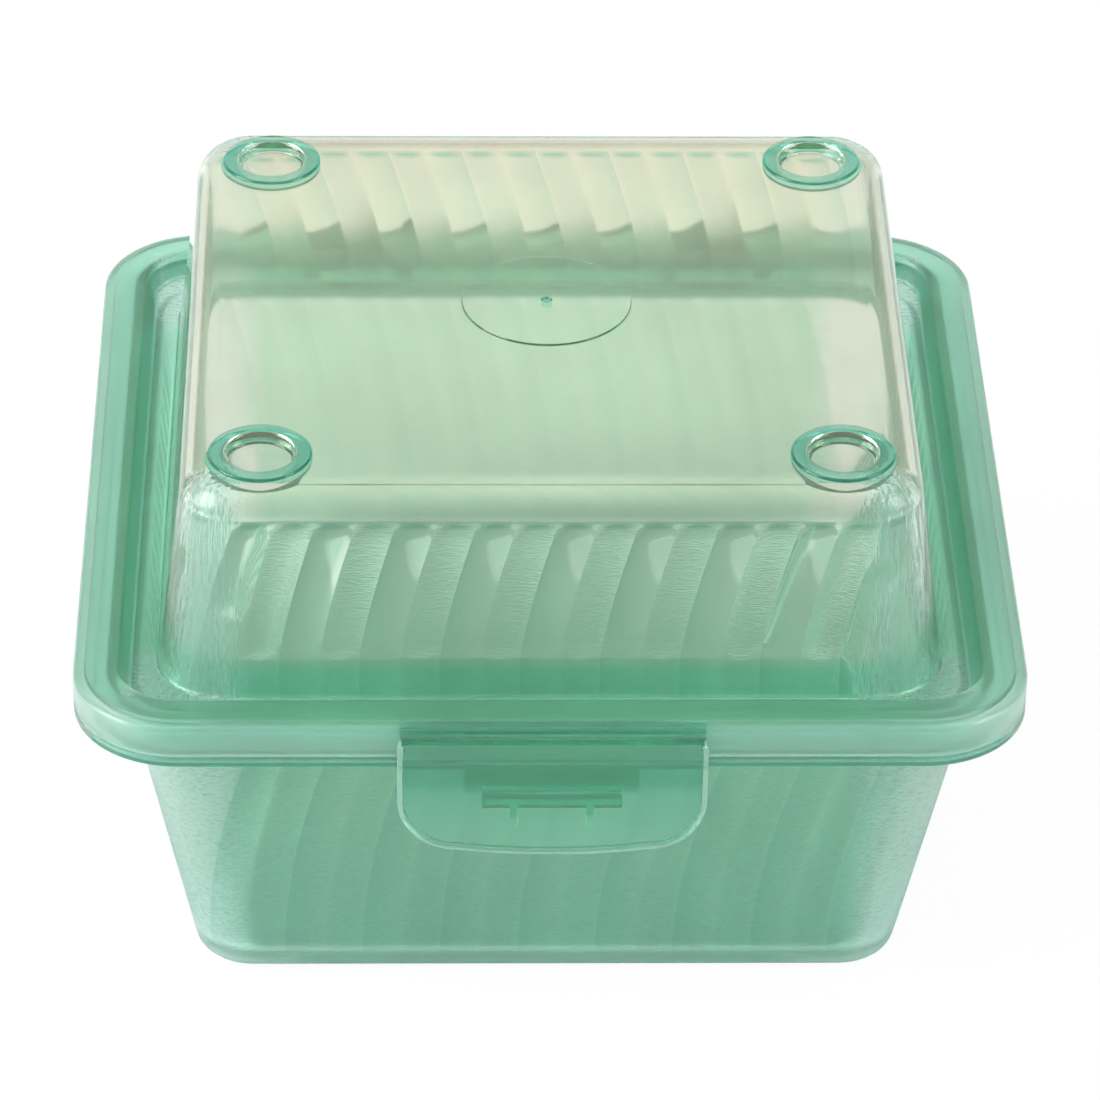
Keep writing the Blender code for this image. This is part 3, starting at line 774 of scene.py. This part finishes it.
def clear_plastic(name, tints, painted_shade_strength, polish, draw, haze, body_colour, density):
    """Tinted clear plastic: tints by height, which hold painted light and shade, and one polish for the
    walls and one for the rim. It mixes in a painted highlight at the round corners, painted shade on the
    ribs and the rim slope, and painted light on the lid's skirt and the tub's foot.
    """
    material, tree = new_material(name)
    place = object_place(tree)
    height = add_node(tree, "SeparateXYZ", Vector=place).outputs["Z"]
    outward = add_math(tree, "MAXIMUM", *plane_distances(tree, place))
    sheen = add_range(
        tree, outward, From_Min=WALL_TO_RIM[0], From_Max=WALL_TO_RIM[1], To_Min=polish[0], To_Max=polish[1]
    )
    surface = add_node(tree, "Group")
    surface.node_tree = surface_effect
    grain = attribute(tree, "grain")
    fill_inputs(tree, surface, Position=place, Grain=grain, Polish=sheen, Frost=FROST, Draw=draw)

    foot = add_range(
        tree, height, From_Min=FROSTED_FOOT[0], From_Max=FROSTED_FOOT[1], To_Min=0.0, To_Max=FOOT_FROST
    )
    rough = add_math(tree, "MAXIMUM", surface.outputs["Roughness"], foot)
    bump = add_node(tree, "Bump", Strength=0.6, Distance=0.0002, Height=surface.outputs["Height"])
    value = add_range(
        tree, surface.outputs["Mottle"], From_Min=0.3, From_Max=0.7, To_Min=0.95, To_Max=1.05
    )
    flecked = add_math(tree, "MULTIPLY_ADD", surface.outputs["Fleck"], FLECK, value)
    # Painted highlight: the round corners are paler.
    corner_highlight = add_math(tree, "MULTIPLY", surface.outputs["Corner"], CORNER_HIGHLIGHT_STRENGTH)
    highlighted = add_mix(tree, corner_highlight, tint_and_shade_by_height(tree, height, tints), CORNER_HIGHLIGHT)
    drift = add_node(tree, "HueSaturation", Value=flecked, Color=highlighted)
    shader = tree.nodes["Principled BSDF"]
    fill_inputs(
        tree, shader, IOR=PLASTIC_IOR, Transmission_Weight=1 - haze, Roughness=rough,
        Normal=bump.outputs[0], Base_Color=drift.outputs[0],
    )
    # Painted shade on the ribs and the rim slope, from the depth attribute.
    mixed(material, PAINTED_SHADE, attribute(tree, "depth"), painted_shade_strength)
    # Painted light on the lid's skirt and the tub's foot, from the edge attribute.
    mixed(material, PAINTED_LIGHT, attribute(tree, "edge"), PAINTED_LIGHT_STRENGTH)
    body = add_node(tree, "VolumeAbsorption", Color=(*body_colour, 1), Density=density)
    fill_inputs(tree, tree.nodes["Material Output"], Volume=body.outputs["Volume"])
    return material


def ringed(material, place, inner, outer, colour):
    """A colour between two radii under the lid's top, about points as far from both middle planes."""
    tree = material.node_tree
    coords = object_place(tree)
    size = add_vector_math(tree, "ABSOLUTE", coords)
    flat = add_vector_math(tree, "MULTIPLY_ADD", size, (1, 1, 0), (-place, -place, 0))
    radius = add_vector_math(tree, "LENGTH", flat)
    band = add_math(tree, "COMPARE", radius, (inner + outer) / 2, (outer - inner) / 2)
    height = add_node(tree, "SeparateXYZ", Vector=coords).outputs["Z"]
    high = add_math(tree, "GREATER_THAN", height, LID_CEILING)
    mixed(material, colour, add_math(tree, "MULTIPLY", band, high), 1.0)


def thickness_and_shade(material, shallow, deep, top, reach, colour):
    """A deeper colour past one depth, below one height and near the middle: partly the deeper colour of
    thick plastic, partly painted shade.
    """
    tree = material.node_tree
    parts = add_node(tree, "SeparateXYZ", Vector=object_place(tree)).outputs
    depth = add_range(tree, parts["Y"], From_Min=shallow, From_Max=deep)
    below = add_math(tree, "LESS_THAN", parts["Z"], top)
    near = add_math(tree, "COMPARE", parts["X"], 0.0, reach)
    inside = add_math(tree, "MULTIPLY", below, near)
    mixed(material, colour, add_math(tree, "MULTIPLY", depth, inside), 1.0)


def white_set():
    """An evenly lit white world, and a floor that looks white to the camera and through the plastic."""
    world = bpy.data.worlds.new("white_studio")
    scene.world = world
    world.use_nodes = True
    tree = world.node_tree
    fill_inputs(tree, tree.nodes["Background"], Color=(1, 1, 1, 1), Strength=0.85)
    bm = bmesh.new()
    bmesh.ops.create_grid(bm, x_segments=1, y_segments=1, size=FLOOR_HALF)
    bmesh.ops.translate(bm, verts=bm.verts, vec=(0, 0, -FLOOR_DROP))
    floor = finished("floor", bm)
    material, tree = new_material("pale_floor")
    floor.data.materials.append(material)
    shader = tree.nodes["Principled BSDF"]
    fill_inputs(tree, shader, Base_Color=(0.93, 0.93, 0.93, 1), Roughness=0.9)
    glow = add_node(tree, "Emission", Color=(1, 1, 1, 1), Strength=1.0)
    rays = add_node(tree, "LightPath").outputs
    seen = add_math(tree, "MULTIPLY", rays["Is Camera Ray"], 0.92)
    through = add_math(tree, "MULTIPLY", rays["Is Transmission Ray"], 0.35)
    mix = add_node(tree, "MixShader")
    parts = (add_math(tree, "MAXIMUM", seen, through), shader.outputs[0], glow.outputs[0])
    for socket, part in zip(mix.inputs, parts):
        fill(tree, socket, part)
    fill_inputs(tree, tree.nodes["Material Output"], Surface=mix.outputs[0])


def softbox(name, place, target, width, height, power):
    light = bpy.data.lights.new(name, "AREA")
    light.shape = "RECTANGLE"
    light.size = width
    light.size_y = height
    light.energy = power
    obj = bpy.data.objects.new(name, light)
    obj.location = place
    aim = Vector(target) - Vector(place)
    obj.rotation_euler = aim.to_track_quat("-Z", "Y").to_euler()
    scene.collection.objects.link(obj)


def photo_camera():
    """The photograph's camera: above the front, a little to the left and slightly rolled."""
    tilt = radians(33.79)
    yaw = radians(1.56)
    roll = radians(0.86)
    sensor_width = 36
    image_width = 1100
    focal_pixels = 5884.8
    ahead = Vector((sin(yaw) * cos(tilt), cos(yaw) * cos(tilt), -sin(tilt)))
    right = Vector((cos(yaw), -sin(yaw), 0))
    above = right.cross(ahead)
    across = cos(roll) * right + sin(roll) * above
    up = cos(roll) * above - sin(roll) * right
    turn = Matrix((across, up, -ahead)).transposed().to_4x4()
    data = bpy.data.cameras.new("photo_camera")
    data.sensor_width = sensor_width
    data.lens = sensor_width * focal_pixels / image_width
    data.clip_start = 0.05
    obj = bpy.data.objects.new("photo_camera", data)
    obj.matrix_world = Matrix.Translation((-0.01740, -0.67435, 0.48767)) @ turn
    scene.collection.objects.link(obj)
    scene.camera = obj


photo_camera()
white_set()
softbox("left_softbox", (-0.8, -0.2, 0.5), (0, 0, 0.04), 0.6, 0.7, 10)
softbox("right_softbox", (0.8, -0.35, 0.5), (0, 0, 0.04), 0.4, 0.6, 4.5)
surface_effect = moulded_surface()
lid_plastic = clear_plastic("clear_green", LID_TINTS_WITH_LIGHT_AND_SHADE, 1.0, (0.05, 0.3), 1.0, 0.05, LID_BODY, 72)
tub_plastic = clear_plastic("frosted_green", TUB_TINTS_WITH_SHADE, 0.9, (0.1, 0.3), 0.0, 0.08, TUB_BODY, 60)
tab_plastic = clear_plastic("milky_green", TAB_TINTS_WITH_SHADE, 0.0, (0.2, 0.2), 0.0, 0.035, TUB_BODY, 250)
# Paler, milkier plastic for the tab's edge: a painted highlight along its outline.
highlight_plastic = clear_plastic("painted_highlight_edge", HIGHLIGHT_TINTS, 0.0, (0.2, 0.2), 0.0, 0.13, TUB_BODY, 100)
ringed(lid_plastic, RING_OFFSET, 0.0048, 0.0064, (0.27, 0.56, 0.47))
ringed(lid_plastic, RING_OFFSET, 0.0064, 0.0068, (0.10, 0.60, 0.48))
ringed(lid_plastic, 0.0, 0.0113, 0.0115, (0.66, 0.78, 0.70))
ringed(lid_plastic, 0.0, 0.0, 0.0008, (0.25, 0.70, 0.58))
# Painted shade on the front flange, under the lid's skirt.
thickness_and_shade(tub_plastic, -0.0556, -0.0564, 0.0449, 0.0700, (0.08, 0.58, 0.42))
# The catch: the deeper colour of its thick plastic, and painted shade behind the tab.
thickness_and_shade(tub_plastic, -0.0556, -0.0564, 0.0450, 0.0112, (0.05, 0.60, 0.40))
# Painted shade on the tab's hook and gussets, behind the tab.
thickness_and_shade(tab_plastic, -0.0627, -0.0621, 0.0470, 0.0205, (0.05, 0.56, 0.40))
for piece, node, body, slot, material in (
    (base_tub(), "base_tub", "base", "tub_plastic", tub_plastic),
    (lid_cover(), "lid_cover", "lid", "lid_plastic", lid_plastic),
    (latch_tab(), "latch_tab", "latch", "tab_plastic", tab_plastic),
):
    piece.data.materials.clear()
    piece.data.materials.append(material)
    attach(piece, body)
    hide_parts(node)
# The tab's paler edge piece: a painted highlight along its outline.
tab_highlight_rim = tab_highlight_edge()
tab_highlight_rim.data.materials.append(highlight_plastic)
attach(tab_highlight_rim, "latch")
film = latch_film()
film.data.materials.append(tab_plastic)
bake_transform(film)
